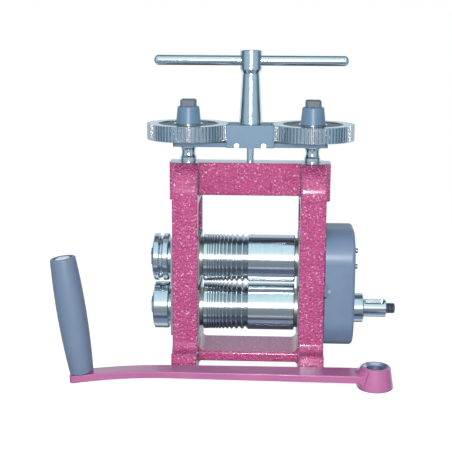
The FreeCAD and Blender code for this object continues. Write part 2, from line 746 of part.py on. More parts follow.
def cover_outline(x, inset):
    """Rounded oval in the YZ plane, drawn inset from the cover's outer surface."""
    radius = COVER_R - inset
    y = COVER_HALF_D - COVER_R
    z = COVER_HALF_H - COVER_R
    slant = radius * math.sqrt(0.5)
    edges = []
    for sy, sz in ((1, 1), (-1, 1), (-1, -1), (1, -1)):
        a = vec(x, sy * (y + radius), COVER_MID_Z + sz * z)
        b = vec(x, sy * (y + slant), COVER_MID_Z + sz * (z + slant))
        c = vec(x, sy * y, COVER_MID_Z + sz * (z + radius))
        edges.append(Part.Arc(a, b, c).toShape())
        edges.append(Part.makeLine(a, vec(x, sy * (y + radius), COVER_MID_Z)))
        edges.append(Part.makeLine(c, vec(x, 0, COVER_MID_Z + sz * (z + radius))))
    return Part.Face(Part.Wire(Part.__sortEdges__(edges)))


def gear_cover():
    shell = cover_outline(HOUSING_OUT, 0).extrude(vec(COVER_OUT - HOUSING_OUT, 0, 0))
    shell = filleted(shell, COVER_EDGE, lambda edge: edge.BoundBox.XMin > COVER_OUT - RUN_FIT)
    depth = COVER_OUT - COVER_FACE_T - HOUSING_OUT
    hollow = cover_outline(HOUSING_OUT - 1, COVER_WALL).extrude(vec(depth + 1, 0, 0))
    shell = shell.cut(hollow)
    face_in = COVER_OUT - COVER_FACE_T - 1
    shell = shell.cut(rod("X", COVER_HOLE_R, face_in, COVER_OUT + 1, (0, LOWER_Z)))
    for end in ENDS:
        for z in COVER_SCREW_Z:
            hole = COVER_SCREW_R + OPEN_GAP / 2
            shell = shell.cut(rod("X", hole, face_in, COVER_OUT + 1, (end * COVER_SCREW_Y, z)))
    front = -COVER_HALF_D
    notch = rod("Y", NOTCH_HALF_Z, front - 1, front + COVER_WALL + 1, (HOUSING_OUT, LUG_Z))
    squeeze = FreeCAD.Matrix()
    squeeze.move(vec(-HOUSING_OUT, 0, 0))
    squeeze.scale(NOTCH_DEEP / NOTCH_HALF_Z, 1, 1)
    squeeze.move(vec(HOUSING_OUT, 0, 0))
    shell = shell.cut(notch.transformGeometry(squeeze))
    rim = (RIM_SCREW_X, LUG_Z)
    return shell.cut(rod("Y", RIM_SCREW_R + SEAT_FIT, front - 1, front + COVER_WALL + 1, rim))


def cover_screw(y, z):
    shank = rod("X", COVER_SCREW_R, COVER_OUT - COVER_SCREW_L, COVER_OUT, (y, z))
    head = rod("X", COVER_HEAD_R, COVER_OUT, COVER_OUT + COVER_HEAD_H, (y, z))
    head = filleted(head, 0.5, lambda edge: edge.BoundBox.XMin > COVER_OUT + 1)
    screw = shank.fuse(head).removeSplitter()
    tip = COVER_OUT + COVER_HEAD_H
    return screw.cut(box(tip - 1, tip + 1, y - COVER_HEAD_R, y + COVER_HEAD_R, z - 0.4, z + 0.4))


def rim_screw():
    front = -COVER_HALF_D
    spot = (RIM_SCREW_X, LUG_Z)
    shank = rod("Y", RIM_SCREW_R, front, -LUG_INNER_Y, spot)
    head = rod("Y", RIM_HEAD_R, front - 1, front, spot)
    return shank.fuse(head).removeSplitter()


# Bridge, pinion block and gear train


def bridge_bar():
    bar = box(-BAR_HALF_L, BAR_HALF_L, -BAR_HALF_W, BAR_HALF_W, BAR_Z, BAR_Z + BAR_T)
    bar = filleted(bar, BAR_CORNER, lambda edge: edge.BoundBox.ZLength > BAR_T - 1)
    bar = filleted(bar, BAR_EDGE, lambda edge: edge.BoundBox.ZLength < BAR_EDGE)
    for side in ENDS:
        screw = (side * SCREW_X, 0)
        pin = (side * IDLER_X, 0)
        bar = bar.cut(rod("Z", SCREW_SEAT_R + RUN_FIT, BAR_Z, BAR_Z + BAR_T, screw))
        bar = bar.cut(rod("Z", IDLER_PIN_R + SEAT_FIT, BAR_Z, BAR_Z + BAR_T, pin))
        for end in ENDS:
            bar = bar.cut(block_screw_hole(side, end))
    return bar.cut(rod("Z", GUIDE_R + RUN_FIT, BAR_Z, BAR_Z + BAR_T))


def block_screw_hole(side, end):
    spot = (side * BLOCK_SCREW_X, BAR_Z + BAR_T / 2)
    reach = BLOCK_HALF_Y - BLOCK_SCREW_L
    return rod("Y", BLOCK_SCREW_R + SEAT_FIT, end * reach, end * (BLOCK_HALF_Y + 1), spot)


def pinion_block():
    x = BLOCK_HALF_X
    body = box(-x, x, -BLOCK_HALF_Y, BLOCK_HALF_Y, BAR_Z, BLOCK_TOP)
    outer = lambda edge: edge.BoundBox.ZMax > BLOCK_TOP - RUN_FIT
    body = filleted(body, BLOCK_EDGE, outer)
    roof = BLOCK_TOP - BLOCK_ROOF
    body = body.cut(box(-x - 1, x + 1, -TRAIN_HALF_Y, TRAIN_HALF_Y, BAR_Z - 1, roof))
    slot_y = BAR_HALF_W + SEAT_FIT
    body = body.cut(box(-x - 1, x + 1, -slot_y, slot_y, BAR_Z - 1, BAR_Z + BAR_T))
    for side in ENDS:
        gear = (side * SCREW_X, 0)
        under = BAR_Z + BAR_T + 1
        body = body.cut(rod("Z", GEAR_TIP_R + GEAR_RELIEF, under, BLOCK_TOP + 1, gear))
        body = body.cut(rod("Z", IDLER_PIN_R + SEAT_FIT, roof - 1, BLOCK_TOP + 1, (side * IDLER_X, 0)))
        for end in ENDS:
            body = body.cut(block_screw_hole(side, end))
    return body.cut(rod("Z", PINION_SHAFT_R + RUN_FIT, roof - 1, BLOCK_TOP + 1))


def block_screw(side, end):
    spot = (side * BLOCK_SCREW_X, BAR_Z + BAR_T / 2)
    shank = rod("Y", BLOCK_SCREW_R, end * (BLOCK_HALF_Y - BLOCK_SCREW_L), end * BLOCK_HALF_Y, spot)
    tip = end * (BLOCK_HALF_Y + BLOCK_HEAD_H)
    head = rod("Y", BLOCK_HEAD_R, end * BLOCK_HALF_Y, tip, spot)
    slot_z = (spot[1] - 0.4, spot[1] + 0.4)
    slot = box(spot[0] - BLOCK_HEAD_R, spot[0] + BLOCK_HEAD_R, tip - end * 0.6, tip + end, *slot_z)
    return shank.fuse(head).removeSplitter().cut(slot)


def adjusting_gear(side):
    phase = 180 if side > 0 else 0
    x = side * SCREW_X
    gear = spur_z(GEAR_MODULE, GEAR_TEETH, ADDENDUM, phase, GEAR_Z, GEAR_TOP, x)
    for low, high in ((GEAR_TOP - WEB_DEPTH, GEAR_TOP + 1), (GEAR_Z - 1, GEAR_Z + WEB_DEPTH)):
        ring = rod("Z", WEB_OUT_R, low, high, (x, 0)).cut(rod("Z", WEB_IN_R, low, high, (x, 0)))
        gear = gear.cut(ring)
    return gear.cut(rod("Z", SCREW_SEAT_R + SEAT_FIT, GEAR_Z - 1, GEAR_TOP + 1, (x, 0)))


def idler(side):
    x = side * IDLER_X
    phase = 180 / IDLER_TEETH
    low = GEAR_Z + FACE_GAP
    high = BLOCK_TOP - BLOCK_ROOF - OPEN_GAP
    gear = spur_z(GEAR_MODULE, IDLER_TEETH, ADDENDUM, phase, low, high, x)
    return gear.cut(rod("Z", IDLER_PIN_R + RUN_FIT, low - 1, high + 1, (x, 0)))


def handle_pinion():
    low = GEAR_Z + FACE_GAP
    high = BLOCK_TOP - BLOCK_ROOF - OPEN_GAP
    teeth = spur_z(GEAR_MODULE, PINION_TEETH, ADDENDUM, 0, low, high, 0)
    guide = rod("Z", GUIDE_R, FRAME_TOP - GUIDE_DEPTH + 5, low)
    neck = rod("Z", PINION_SHAFT_R, high, BLOCK_TOP + FACE_GAP)
    spigot = rod("Z", STEM_SOCKET_R - SEAT_FIT, BLOCK_TOP, BLOCK_TOP + STEM_SOCKET_L)
    return joined([teeth, guide, neck, spigot]).cut(handle_pin_hole())


def handle_pin_hole():
    z = BLOCK_TOP + STEM_SOCKET_L / 2
    return rod("Y", HANDLE_PIN_R + SEAT_FIT, -STEM_LOW_R - 1, STEM_LOW_R + 1, (0, z))


def handle_pin():
    z = BLOCK_TOP + STEM_SOCKET_L / 2
    return rod("Y", HANDLE_PIN_R, -STEM_LOW_R + 1, STEM_LOW_R - 1, (0, z))


def idler_pin(side):
    return rod("Z", IDLER_PIN_R, BAR_Z, BLOCK_TOP - 0.4, (side * IDLER_X, 0))


def main_screw(side):
    low = UPPER_Z + BLOCK_HALF_H - PAD_SUNK + PAD_H + FACE_GAP / 2
    thread_low = low + TIP_L
    points = [(low, 0), (low, TIP_R), (thread_low, TIP_R), (thread_low, THREAD_R - THREAD_DEPTH)]
    half = THREAD_PITCH / 2
    turns = int((FRAME_TOP - thread_low) / THREAD_PITCH)
    for index in range(turns):
        z = thread_low + index * THREAD_PITCH
        points += [(z + half * 0.8, THREAD_R), (z + half * 1.2, THREAD_R)]
        points += [(z + THREAD_PITCH, THREAD_R - THREAD_DEPTH)]
    top = thread_low + turns * THREAD_PITCH
    base = FRAME_TOP + NECK_BASE
    points += [(top + NECK_END, FLARE_R), (base, FLARE_R), (BAR_Z - FLARE_T, FLARE_R)]
    waist = (len(points) - 2, ((base + BAR_Z - FLARE_T) / 2, NECK_R))
    points += [(BAR_Z, FLARE_R), (BAR_Z, SCREW_SEAT_R)]
    seat_top = GEAR_TOP + HUB_H - BOLT_H
    points += [(seat_top, SCREW_SEAT_R), (seat_top, 0)]
    body = turned_z(points, side * SCREW_X, 0, [waist])
    bolt_low = GEAR_TOP + HUB_H - BOLT_SHANK_L - BOLT_H - 1
    centre = (side * SCREW_X, 0)
    return body.cut(rod("Z", BOLT_SHANK_R + SEAT_FIT, bolt_low, seat_top + 1, centre))


def gear_hub(side):
    """Cone on top of the gear, under the clamp bolt's head."""
    bore = SCREW_SEAT_R + SEAT_FIT
    top = GEAR_TOP + HUB_H
    points = [(GEAR_TOP, bore), (GEAR_TOP, HUB_LOW_R), (top - 1, HUB_TOP_R)]
    points += [(top, HUB_TOP_R - 1), (top, bore)]
    return turned_z(points, side * SCREW_X, 0)


def gear_washer(side):
    """Spacing washer between the bridge bar and the gear."""
    low = BAR_Z + BAR_T + FACE_GAP
    centre = (side * SCREW_X, 0)
    disc = rod("Z", HUB_LOW_R, low, GEAR_Z, centre)
    return disc.cut(rod("Z", SCREW_SEAT_R + SEAT_FIT, low, GEAR_Z, centre))


def clamp_bolt(side):
    """Square headed bolt that clamps the hub and gear to the main screw."""
    x = side * SCREW_X
    low = GEAR_TOP + HUB_H
    half = BOLT_AF / 2
    head = box(x - half, x + half, -half, half, low, low + BOLT_H)
    head = filleted(head, BOLT_CORNER, lambda edge: edge.BoundBox.ZLength > BOLT_H - 1)
    head = filleted(head, BOLT_DOME, lambda edge: edge.BoundBox.ZMin > low + BOLT_H - RUN_FIT)
    shank = rod("Z", BOLT_SHANK_R, low - BOLT_SHANK_L - BOLT_H + 1, low, (x, 0))
    return head.fuse(shank).removeSplitter()


# T handle


def handle_stem():
    low = BLOCK_TOP + FACE_GAP
    head_low = CROSS_Z - HEAD_DOWN
    head_top = CROSS_Z + HEAD_UP
    socket = low + STEM_SOCKET_L
    points = [(low, STEM_SOCKET_R), (low, STEM_LOW_R), (head_low - HEAD_CONE, STEM_HIGH_R)]
    points += [(head_low, HEAD_R)]
    points += [(head_top - HEAD_EDGE, HEAD_R), (head_top, HEAD_R - HEAD_EDGE), (head_top, 0)]
    points += [(socket, 0), (socket, STEM_SOCKET_R)]
    stem = turned_z(points, 0, 0)
    stem = stem.cut(rod("X", CROSS_R + SEAT_FIT, -HEAD_R - 1, HEAD_R + 1, (0, CROSS_Z)))
    return stem.cut(handle_pin_hole())


def handle_crossbar():
    bar = rod("X", CROSS_R, -CROSS_HALF_L, CROSS_HALF_L, (0, CROSS_Z))
    return filleted(bar, CROSS_ROUND, lambda edge: edge.BoundBox.XLength < RUN_FIT)


# Crank


def bowed(x, height, slope, radius):
    """Height at x of a line that falls by slope degrees toward the boss from the bend, and
    of the arc that carries it down past the bend to the grip."""
    lean = math.radians(slope)
    if x >= ARM_BEND_X:
        return height - (x - ARM_BEND_X) * math.tan(lean)
    middle = ARM_BEND_X - radius * math.sin(lean)
    return height - radius * math.cos(lean) + math.sqrt(radius**2 - (x - middle) ** 2)


def arm_underside(x):
    return bowed(x, ARM_BEND_Z, ARM_SLOPE, ARM_BEND_R)


def arm_top(x):
    return bowed(x, ARM_BEND_Z + ARM_T, 0, ARM_TOP_R)


def boss_solid(extra=0):
    """The crank's conical boss before it is bored, grown all round by extra."""
    return turned_z(
        [
            (0, 0),
            (0, CRANK_FOOT_R - 1 + extra),
            (1, CRANK_FOOT_R + extra),
            (CRANK_BOSS_H - BOSS_EDGE, CRANK_BOSS_R + extra),
            (CRANK_BOSS_H, CRANK_BOSS_R - BOSS_EDGE + extra),
            (CRANK_BOSS_H, 0),
        ],
        CRANK_X,
        CRANK_Y,
    )


def arm_plan():
    """The arm's outline from above, a taper with rounded corners at the grip end."""
    left = GRIP_X - ARM_END
    narrow = ARM_GRIP_W / 2
    wide = ARM_BOSS_W / 2
    corners = [(left, -narrow), (CRANK_X, -wide), (CRANK_X, wide), (left, narrow)]
    outline = face_of([vec(x, CRANK_Y + y, -1) for x, y in corners])
    plan = outline.extrude(vec(0, 0, CRANK_BOSS_H + 1))
    upright = lambda edge: edge.BoundBox.XMax < left + RUN_FIT and edge.BoundBox.ZLength > 1
    return filleted(plan, ARM_END_R, upright)


def arm_haunch():
    """Hollow blends that carry the arm's top and underside into the boss."""
    top = arm_top(CRANK_X)
    foot = arm_underside(CRANK_X)
    rise = HAUNCH_TOP - top
    taper = (CRANK_FOOT_R - CRANK_BOSS_R) / (CRANK_BOSS_H - BOSS_EDGE - 1)
    inner = CRANK_FOOT_R - (HAUNCH_TOP - 1) * taper
    out = inner + HAUNCH_T
    core = CRANK_BOSS_R - BOSS_EDGE
    bend = (top + rise * 0.3, out + (HAUNCH_R - out) * 0.3)
    upper = turned_z(
        [(top - 1, core), (top - 1, HAUNCH_R), (top, HAUNCH_R), (HAUNCH_TOP, out), (HAUNCH_TOP, core)],
        CRANK_X,
        CRANK_Y,
        [(2, bend)],
    )
    near = CRANK_FOOT_R + HAUNCH_T
    dip = (foot - (foot - SOLE_LOW) * 0.3, near + (SOLE_R - near) * 0.3)
    lower = turned_z(
        [(SOLE_LOW, core), (SOLE_LOW, near), (foot, SOLE_R), (foot + 1, SOLE_R), (foot + 1, core)],
        CRANK_X,
        CRANK_Y,
        [(1, dip)],
    )
    return upper.fuse(lower)


def crank_arm():
    """Flat bar, bowed toward the grip and blended into the boss."""
    left = GRIP_X - ARM_END
    y = CRANK_Y - ARM_BOSS_W
    edges = []
    for height in (arm_underside, arm_top):
        arc = [vec(x, y, height(x)) for x in (left, (left + ARM_BEND_X) / 2, ARM_BEND_X)]
        edges.append(Part.Arc(arc[0], arc[1], arc[2]).toShape())
        edges.append(Part.makeLine(arc[2], vec(CRANK_X, y, height(CRANK_X))))
    for x in (left, CRANK_X):
        edges.append(Part.makeLine(vec(x, y, arm_underside(x)), vec(x, y, arm_top(x))))
    bar = Part.Face(Part.Wire(Part.__sortEdges__(edges))).extrude(vec(0, 2 * ARM_BOSS_W, 0))
    bar = bar.common(arm_plan())
    long_x = lambda edge: edge.BoundBox.XLength > ARM_GRIP_W
    bar = filleted(bar, ARM_EDGE, long_x)
    bar = joined([bar, arm_haunch().common(arm_plan())])
    bar = bar.cut(boss_solid(SEAT_FIT))
    return bar.cut(tilted(rod("Z", SPINDLE_R + SEAT_FIT, -ARM_T * 2, ARM_T)))


def crank_boss():
    body = boss_solid()
    mouth = CRANK_BORE_R + CRANK_BORE_CHAMFER
    cone_low = CRANK_BOSS_H - CRANK_BORE_CHAMFER
    spot = vec(CRANK_X, CRANK_Y, cone_low)
    body = body.cut(Part.makeCone(CRANK_BORE_R, mouth, CRANK_BORE_CHAMFER, spot))
    body = body.cut(Part.makeCone(CRANK_BORE_R + 1, CRANK_BORE_R, 1, vec(CRANK_X, CRANK_Y, 0)))
    body = body.cut(rod("Z", CRANK_BORE_R, -1, CRANK_BOSS_H + 1, (CRANK_X, CRANK_Y)))
    half = KEYWAY_W / 2
    key_r = SHAFT_R + KEYWAY_DEEP - 0.4
    slot = box(CRANK_X, CRANK_X + key_r, CRANK_Y - half, CRANK_Y + half, -1, CRANK_BOSS_H + 1)
    return body.cut(slot)


def tilted(shape):
    """Carries a shape built on the vertical through the origin onto the leaning grip axis."""
    moved = shape.copy()
    moved.rotate(vec(0, 0, 0), Y_AXIS, -GRIP_LEAN)
    moved.translate(vec(GRIP_X, CRANK_Y, arm_top(GRIP_X)))
    return moved


def grip():
    """Crowned sleeve with rounded ends, recessed for the spindle's head."""
    low = WASHER_T + 2 * FACE_GAP
    top = low + GRIP_L
    bore = SPINDLE_R + RUN_FIT
    edge = GRIP_EDGE
    foot = GRIP_FOOT_EDGE
    corner = 1 - math.sqrt(0.5)
    points = [(low, bore), (low, GRIP_LOW_R - foot), (low + foot, GRIP_LOW_R)]
    points += [(top - edge, GRIP_TOP_R), (top, GRIP_TOP_R - edge), (top, GRIP_RECESS_R)]
    points += [(top - GRIP_RECESS, GRIP_RECESS_R), (top - GRIP_RECESS, bore)]
    bends = [(1, (low + foot * corner, GRIP_LOW_R - foot * corner))]
    bends.append((2, ((low + top) / 2, GRIP_MID_R)))
    bends.append((3, (top - edge * corner, GRIP_TOP_R - edge * corner)))
    return tilted(turned_z(points, 0, 0, bends))


def grip_washer():
    disc = rod("Z", WASHER_R, FACE_GAP, FACE_GAP + WASHER_T)
    return tilted(disc.cut(rod("Z", SPINDLE_R + RUN_FIT, 0, FACE_GAP + WASHER_T + 1)))


def grip_spindle():
    seat = WASHER_T + 2 * FACE_GAP + GRIP_L - GRIP_RECESS + FACE_GAP
    shank = rod("Z", SPINDLE_R, -ARM_T + 1, seat)
    head = rod("Z", SPINDLE_HEAD_R, seat, seat + SPINDLE_HEAD_H)
    head = filleted(head, 0.8, lambda edge: edge.BoundBox.ZMin > seat + 1)
    half = SPINDLE_SLOT / 2
    top = seat + SPINDLE_HEAD_H
    slot = box(-SPINDLE_HEAD_R, SPINDLE_HEAD_R, -half, half, top - SPINDLE_SLOT, top + 1)
    return tilted(shank.fuse(head).removeSplitter().cut(slot))


export("frame_casting", frame_casting())
export("lower_roll", lower_roll())
export("upper_roll", upper_roll())
for side_name, side_sign in SIDES.items():
    export("lower_" + side_name + "_block", bearing_block(side_sign, LOWER_Z, 1))
    export("upper_" + side_name + "_block", bearing_block(side_sign, UPPER_Z, -1))
    export("lower_" + side_name + "_bush", bush(side_sign, LOWER_Z, 1))
    export("upper_" + side_name + "_bush", bush(side_sign, UPPER_Z, -1))
    export(side_name + "_thrust_pad", thrust_pad(side_sign))
    export_group(side_name + "_lift_springs", lift_springs(side_sign))
    export(side_name + "_main_screw", main_screw(side_sign))
    export(side_name + "_adjusting_gear", adjusting_gear(side_sign))
    export(side_name + "_idler", idler(side_sign))
    export(side_name + "_clamp_bolt", clamp_bolt(side_sign))
    export(side_name + "_gear_hub", gear_hub(side_sign))
    export(side_name + "_gear_washer", gear_washer(side_sign))
for level_name, level_z in LEVELS.items():
    mesh_phase = 90 if level_name == "lower" else 270 + 180 / DRIVE_TEETH
    export(level_name + "_side_ring", side_ring(level_z, level_name == "upper"))
    export(level_name + "_ring_spacer", spacer(level_z))
    export(level_name + "_ring_nut", ring_nut(level_z))
    export(level_name + "_ring_key", key(level_z, -RING_OUT, -RING_IN, RING_BORE_R))
    export(level_name + "_drive_gear", drive_gear(level_z, mesh_phase))
    export(level_name + "_gear_key", key(level_z, DRIVE_IN, DRIVE_OUT, DRIVE_BORE_R))
export("upper_gear_nut", upper_gear_nut())
export("shaft_collar", shaft_collar())
export("gear_cover", gear_cover())
cover_spots = [(end * COVER_SCREW_Y, z) for end in ENDS for z in COVER_SCREW_Z]
export_group("cover_screws", [cover_screw(y, z) for y, z in cover_spots])
export("cover_rim_screw", rim_screw())
export("bridge_bar", bridge_bar())
export("pinion_block", pinion_block())
export_group("block_screws", [block_screw(side, end) for side in ENDS for end in ENDS])
export_group("idler_pins", [idler_pin(side) for side in ENDS])
export("handle_stem", handle_stem())
export("handle_crossbar", handle_crossbar())
export("handle_pinion", handle_pinion())
export("handle_pin", handle_pin())
export("crank_arm", crank_arm())
export("crank_boss", crank_boss())
export("grip", grip())
export("grip_washer", grip_washer())
export("grip_spindle", grip_spindle())
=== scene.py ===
import bpy
import math
from mathutils import Matrix, Vector

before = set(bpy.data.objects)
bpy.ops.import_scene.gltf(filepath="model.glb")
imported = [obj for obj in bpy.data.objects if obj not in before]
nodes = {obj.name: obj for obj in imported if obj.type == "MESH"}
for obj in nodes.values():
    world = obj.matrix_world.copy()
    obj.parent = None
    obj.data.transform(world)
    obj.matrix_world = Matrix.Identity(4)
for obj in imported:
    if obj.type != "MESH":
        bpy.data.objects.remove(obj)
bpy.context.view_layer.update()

# Places on the mill where one look ends and the next begins, in metres
FRAME_TOP = 0.2185
GEAR_TOP = 0.258
WEB_DEPTH = 0.0012
WEB_IN_R = 0.015
WEB_OUT_R = 0.0312
GEAR_ROOT_R = 0.0404
SCREW_X = 0.064375
STUD_X = 0.1454
GROOVES_X = 0.05
LOWER_Z = 0.0625
LUG_X = 0.0785
LUG_Y = -0.034
CRANK_X = 0.1296
CRANK_Y = -0.0722
CRANK_MOUTH_R = 0.0125
CRANK_TOP = 0.0224

# How far off a place a face may lie, and how much of its normal points along an axis
TOP_ROOM = 0.0002
TOOTH_ROOM = 0.001
FACING = 0.9
FLANK_LEAN = 0.3
TOOTH_STEEP = 0.5


# Node tree helpers


def material(name):
    """An empty material with its tree, its main shader and object coordinates."""
    made = bpy.data.materials.new(name)
    made.use_nodes = True
    tree = made.node_tree
    shader = tree.nodes["Principled BSDF"]
    coords = tree.nodes.new("ShaderNodeTexCoord").outputs["Object"]
    return made, tree, shader, coords


def put(tree, socket, value):
    if isinstance(value, bpy.types.NodeSocket):
        tree.links.new(value, socket)
    else:
        socket.default_value = value


def math_node(tree, operation, a, b=0.0):
    made = tree.nodes.new("ShaderNodeMath")
    made.operation = operation
    put(tree, made.inputs[0], a)
    put(tree, made.inputs[1], b)
    return made.outputs[0]


def scaled(tree, coords, scale):
    made = tree.nodes.new("ShaderNodeMapping")
    tree.links.new(coords, made.inputs["Vector"])
    made.inputs["Scale"].default_value = scale
    return made.outputs["Vector"]


def noise(tree, coords, scale, detail=2.0, rough=0.5):
    """Soft noise from 0 to 1; scale is in lumps a metre."""
    made = tree.nodes.new("ShaderNodeTexNoise")
    tree.links.new(coords, made.inputs["Vector"])
    made.inputs["Scale"].default_value = scale
    made.inputs["Detail"].default_value = detail
    made.inputs["Roughness"].default_value = rough
    return made.outputs["Fac"]


def cells(tree, coords, scale):
    """Rounded cells; scale is in cells a metre."""
    made = tree.nodes.new("ShaderNodeTexVoronoi")
    made.feature = "SMOOTH_F1"
    tree.links.new(coords, made.inputs["Vector"])
    made.inputs["Scale"].default_value = scale
    made.inputs["Smoothness"].default_value = 0.6
    return made.outputs["Distance"]


def spread(tree, value, low, high, out_low=0.0, out_high=1.0):
    """The value from low to high, drawn out to the range given and kept in it."""
    made = tree.nodes.new("ShaderNodeMapRange")
    tree.links.new(value, made.inputs["Value"])
    limits = {"From Min": low, "From Max": high, "To Min": out_low, "To Max": out_high}
    for name, number in limits.items():
        made.inputs[name].default_value = number
    return made.outputs["Result"]


def blend(tree, share, a, b):
    """Colour a where share is 0, b where it is 1."""
    made = tree.nodes.new("ShaderNodeMix")
    made.data_type = "RGBA"
    put(tree, made.inputs["Factor"], share)
    for socket, value in ((made.inputs[6], a), (made.inputs[7], b)):
        if isinstance(value, bpy.types.NodeSocket):
            tree.links.new(value, socket)
        else:
            socket.default_value = (*value, 1.0)
    return made.outputs[2]


def bump(tree, shader, height, distance, strength, below=None):
    """Relief of the height, at most distance deep, on the shader's own or another normal."""
    made = tree.nodes.new("ShaderNodeBump")
    made.inputs["Strength"].default_value = strength
    made.inputs["Distance"].default_value = distance
    tree.links.new(height, made.inputs["Height"])
    if below is not None:
        tree.links.new(below, made.inputs["Normal"])
    tree.links.new(made.outputs["Normal"], shader.inputs["Normal"])


def soft_edges(tree, radius):
    """The normal of edges worn round, as castings and paint leave them."""
    made = tree.nodes.new("ShaderNodeBevel")
    made.samples = 4
    made.inputs["Radius"].default_value = radius
    return made.outputs["Normal"]


def painted_shade_in_mirrors(tree, colour):
    """The colour itself, with painted shade where polished steel mirrors it: reflections show
    it dark slate, standing in for the shaded sides that face the rolls.
    """
    mirrored = tree.nodes.new("ShaderNodeLightPath").outputs["Is Glossy Ray"]
    share = math_node(tree, "MULTIPLY", mirrored, MIRRORED_SHADE_SHARE)
    return blend(tree, share, colour, MIRRORED_PAINTED_SHADE)


def plain(tree, shader, **values):
    names = {
        "metal": "Metallic",
        "rough": "Roughness",
        "coat": "Coat Weight",
        "coat_rough": "Coat Roughness",
        "specular": "Specular IOR Level",
    }
    for key, value in values.items():
        put(tree, shader.inputs[names[key]], value)


# Paints

# Painted shade: the dark slate that paints turn into in polished steel's reflections, and how
# far they turn
MIRRORED_PAINTED_SHADE = (0.08, 0.10, 0.14)
MIRRORED_SHADE_SHARE = 0.95
MAGENTA_DEEP = (0.58, 0.072, 0.245)
MAGENTA_FULL = (0.66, 0.098, 0.305)
MAGENTA_HOLLOW = (0.36, 0.038, 0.15)
MAGENTA_PAINTED_GLINT = (0.95, 0.68, 0.80)
FRAME_EDGE_R = 0.0014
THIN_EDGE_R = 0.001


def hammered_paint():
    """Cast iron under hammered gloss enamel: shallow dimples, mottled colour, painted glints
    as light pink specks, and painted shade where steel mirrors it.
    """
    made, tree, shader, coords = material("hammered_magenta")
    broad = spread(tree, noise(tree, coords, 55, 3), 0.3, 0.7)
    dimples = cells(tree, coords, 470)
    facets = noise(tree, coords, 430, 2, 0.6)
    grain = math_node(tree, "MULTIPLY", noise(tree, coords, 900, 2), 0.3)
    hollows = spread(tree, dimples, 0.1, 0.75, 0.0, 0.55)
    # Painted glints: light pink specks in the colour, where the lamp would glint off the
    # hammered dimples
    painted_glints = spread(tree, noise(tree, coords, 560, 1, 0.4), 0.64, 0.72, 0.0, 0.65)
    base = blend(tree, broad, MAGENTA_DEEP, MAGENTA_FULL)
    mottled = blend(tree, hollows, base, MAGENTA_HOLLOW)
    glinted = blend(tree, painted_glints, mottled, MAGENTA_PAINTED_GLINT)
    # Painted shade over the enamel where polished steel mirrors it
    tree.links.new(painted_shade_in_mirrors(tree, glinted), shader.inputs["Base Color"])
    plain(tree, shader, rough=0.45, coat=1.0, coat_rough=0.13)
    uneven = math_node(tree, "ADD", dimples, math_node(tree, "ADD", facets, grain))
    bump(tree, shader, uneven, 0.0019, 1.0, soft_edges(tree, FRAME_EDGE_R))
    return made


def smooth_paint(name, low, high, rough, coat, coat_rough, peel):
    """Sprayed paint with faint orange peel, slow colour drift, worn edges and painted shade
    where polished steel mirrors it.
    """
    made, tree, shader, coords = material(name)
    drift = spread(tree, noise(tree, coords, 38, 3), 0.3, 0.7)
    dust = spread(tree, noise(tree, coords, 700, 2), 0.35, 0.75, 0.0, 0.12)
    base = blend(tree, drift, low, high)
    dusty = blend(tree, dust, base, [c * 0.6 for c in low])
    # Painted shade over the paint where polished steel mirrors it
    tree.links.new(painted_shade_in_mirrors(tree, dusty), shader.inputs["Base Color"])
    plain(tree, shader, rough=rough, coat=coat, coat_rough=coat_rough)
    peeled = noise(tree, coords, 420, 2)
    bump(tree, shader, peeled, peel, 0.5, soft_edges(tree, THIN_EDGE_R))
    return made


# Metals and plastic

THREAD_PITCH = 0.0015
AROUND_X = (2600, 3, 3)
AROUND_Z = (3, 3, 2600)
ALL_WAYS = (500, 500, 500)
ACROSS_Y = (30, 1800, 30)
SMUDGE = 0.06


def ground_steel(name, tint, rough, lines, depth):
    """Ground or polished steel; lines is how the grinding marks run, as a scale per axis."""
    made, tree, shader, coords = material(name)
    streaks = noise(tree, scaled(tree, coords, lines), 1.0, 3, 0.6)
    film = noise(tree, coords, 70, 3)
    base = blend(tree, spread(tree, streaks, 0.3, 0.7), [c * 0.86 for c in tint], tint)
    filmed = spread(tree, film, 0.45, 0.75, 0.0, 0.35)
    worn = blend(tree, filmed, base, [c * 0.78 for c in tint])
    tree.links.new(worn, shader.inputs["Base Color"])
    patchy = math_node(tree, "MULTIPLY", film, SMUDGE)
    lined = math_node(tree, "MULTIPLY", streaks, SMUDGE)
    uneven = math_node(tree, "ADD", patchy, lined)
    plain(tree, shader, metal=1.0, rough=math_node(tree, "ADD", uneven, rough - SMUDGE))
    bump(tree, shader, streaks, depth, 0.3)
    return made


def cast_web():
    """As-cast, dark stained steel in the gears' recessed faces."""
    made, tree, shader, coords = material("gear_web")
    blotch = noise(tree, coords, 160, 4, 0.65)
    fine = noise(tree, coords, 900, 2)
    stained = spread(tree, blotch, 0.35, 0.65)
    base = blend(tree, stained, (0.075, 0.085, 0.105), (0.21, 0.24, 0.29))
    tree.links.new(base, shader.inputs["Base Color"])
    plain(tree, shader, metal=0.75, rough=spread(tree, blotch, 0.3, 0.7, 0.38, 0.58))
    bump(tree, shader, math_node(tree, "ADD", blotch, fine), 0.0002, 0.5)
    return made


def threaded_steel():
    """Dark oiled thread on the stud."""
    made, tree, shader, coords = material("stud_thread")
    split = tree.nodes.new("ShaderNodeSeparateXYZ")
    tree.links.new(coords, split.inputs[0])
    turns = math_node(tree, "MULTIPLY", split.outputs["X"], 1 / THREAD_PITCH)
    ridge = math_node(tree, "PINGPONG", turns, 0.5)
    worn = spread(tree, ridge, 0.1, 0.4)
    base = blend(tree, worn, (0.05, 0.055, 0.065), (0.30, 0.32, 0.35))
    tree.links.new(base, shader.inputs["Base Color"])
    plain(tree, shader, metal=1.0, rough=0.32)
    bump(tree, shader, ridge, 0.0009, 0.9)
    return made


